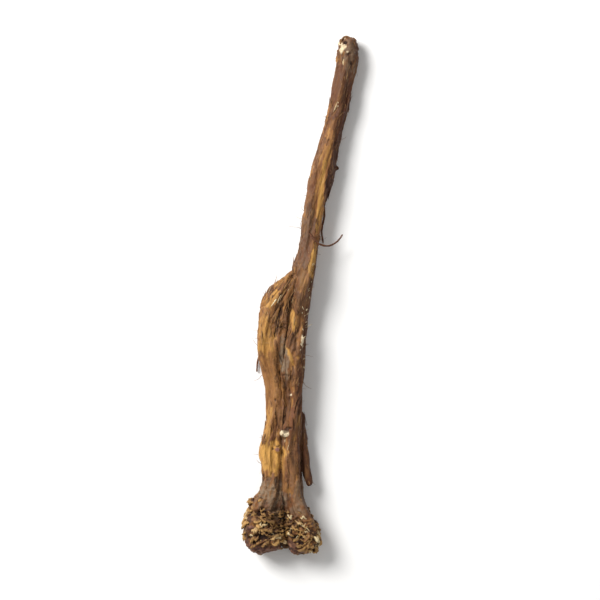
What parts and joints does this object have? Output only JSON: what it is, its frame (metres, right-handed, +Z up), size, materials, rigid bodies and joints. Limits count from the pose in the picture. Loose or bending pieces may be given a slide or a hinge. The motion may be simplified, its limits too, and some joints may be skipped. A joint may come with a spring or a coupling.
{
  "type": "dandelion root",
  "caption": "Dried dandelion taproot lying on its side: scaly cleft crown, grooved body that forks into a short torn leg and a long slim leg, with thin rootlets.",
  "frame": {"origin": "centre of the bounding box's bottom, on the surface that the root lies on", "axes": "+Y along the root from its crown to its long leg's tip, +Z up from the surface"},
  "size_m": [0.0346, 0.1554, 0.013],
  "materials": {
    "bark": "dry wrinkled brown bark with golden inner layers and a dull satin sheen"
  },
  "bodies": {
    "root": {"dandelion_root": "bark"}
  },
  "joints": []
}
